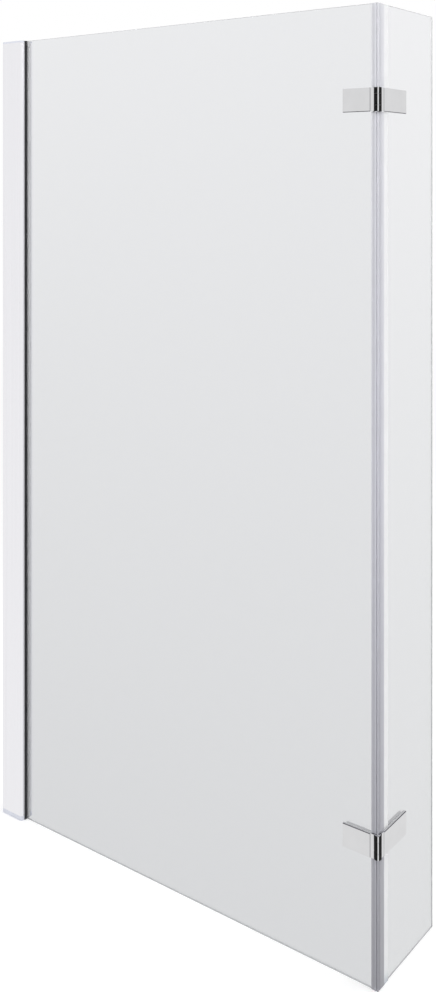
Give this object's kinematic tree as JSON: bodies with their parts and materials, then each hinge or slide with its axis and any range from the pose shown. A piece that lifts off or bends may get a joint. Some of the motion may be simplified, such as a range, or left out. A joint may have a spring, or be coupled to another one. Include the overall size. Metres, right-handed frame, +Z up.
{
  "type": "bath screen",
  "caption": "Square bath screen: a wide fixed glass pane on a wall profile, and a narrow return pane at a right angle on two corner hinges.",
  "frame": {"origin": "foot of the wall face: on the wall, at the level of the bath's rim, on the middle plane of the main pane", "axes": "+X along the main pane away from the wall, +Y in over the bath, +Z up"},
  "size_m": [0.7905, 0.176, 1.4],
  "materials": {
    "polished_chrome": "polished bright chrome",
    "bright_profile": "polished and bright anodised, chrome effect",
    "clear_glass": "clear 6 mm toughened, polished edges",
    "clear_seal": "translucent grey flexible PVC",
    "black_gasket": "soft black glazing rubber",
    "clear_pad": "translucent soft PVC",
    "nylon": "natural nylon",
    "black_nylon": "black moulded nylon",
    "screw_steel": "stainless, turned",
    "channel_aluminium": "mill finish extrusion",
    "cap_plastic": "smooth pale chrome-look plastic"
  },
  "bodies": {
    "wall_frame": {"wall_channel": "channel_aluminium", "lock_screws": "screw_steel", "lock_screw_covers": "cap_plastic"},
    "main_panel": {"glass_edge_blocks": "nylon", "glass_profile": "bright_profile", "inner_glazing_gasket": "clear_pad", "lower_hinge_main_clamp": "polished_chrome", "lower_hinge_main_inner_pad": "clear_pad", "lower_hinge_main_leaf": "polished_chrome", "lower_hinge_main_outer_pad": "clear_pad", "lower_hinge_main_screws": "screw_steel", "lower_hinge_main_shells": "black_nylon", "lower_hinge_main_sleeves": "nylon", "lower_hinge_pin": "polished_chrome", "lower_hinge_washers": "nylon", "main_corner_seal_bottom": "clear_seal", "main_corner_seal_middle": "clear_seal", "main_corner_seal_top": "clear_seal", "main_glass": "clear_glass", "outer_glazing_gasket": "black_gasket", "profile_bottom_cap": "cap_plastic", "profile_top_cap": "cap_plastic", "upper_hinge_main_clamp": "polished_chrome", "upper_hinge_main_inner_pad": "clear_pad", "upper_hinge_main_leaf": "polished_chrome", "upper_hinge_main_outer_pad": "clear_pad", "upper_hinge_main_screws": "screw_steel", "upper_hinge_main_shells": "black_nylon", "upper_hinge_main_sleeves": "nylon", "upper_hinge_pin": "polished_chrome", "upper_hinge_washers": "nylon"},
    "return_panel": {"lower_hinge_return_clamp": "polished_chrome", "lower_hinge_return_inner_pad": "clear_pad", "lower_hinge_return_leaf": "polished_chrome", "lower_hinge_return_outer_pad": "clear_pad", "lower_hinge_return_screws": "screw_steel", "lower_hinge_return_shells": "black_nylon", "lower_hinge_return_sleeves": "nylon", "return_corner_seal_bottom": "clear_seal", "return_corner_seal_middle": "clear_seal", "return_corner_seal_top": "clear_seal", "return_glass": "clear_glass", "upper_hinge_return_clamp": "polished_chrome", "upper_hinge_return_inner_pad": "clear_pad", "upper_hinge_return_leaf": "polished_chrome", "upper_hinge_return_outer_pad": "clear_pad", "upper_hinge_return_screws": "screw_steel", "upper_hinge_return_shells": "black_nylon", "upper_hinge_return_sleeves": "nylon"}
  },
  "joints": [
    {"name": "width_adjustment", "type": "slide", "parent": "wall_frame", "child": "main_panel", "axis": [1, 0, 0], "range_m": [0, 0.015]},
    {"name": "return_swing", "type": "hinge", "parent": "main_panel", "child": "return_panel", "pos_m": [0.785, -0.003, 0.7], "axis": [0, 0, -1], "range_deg": [0, 90]}
  ]
}
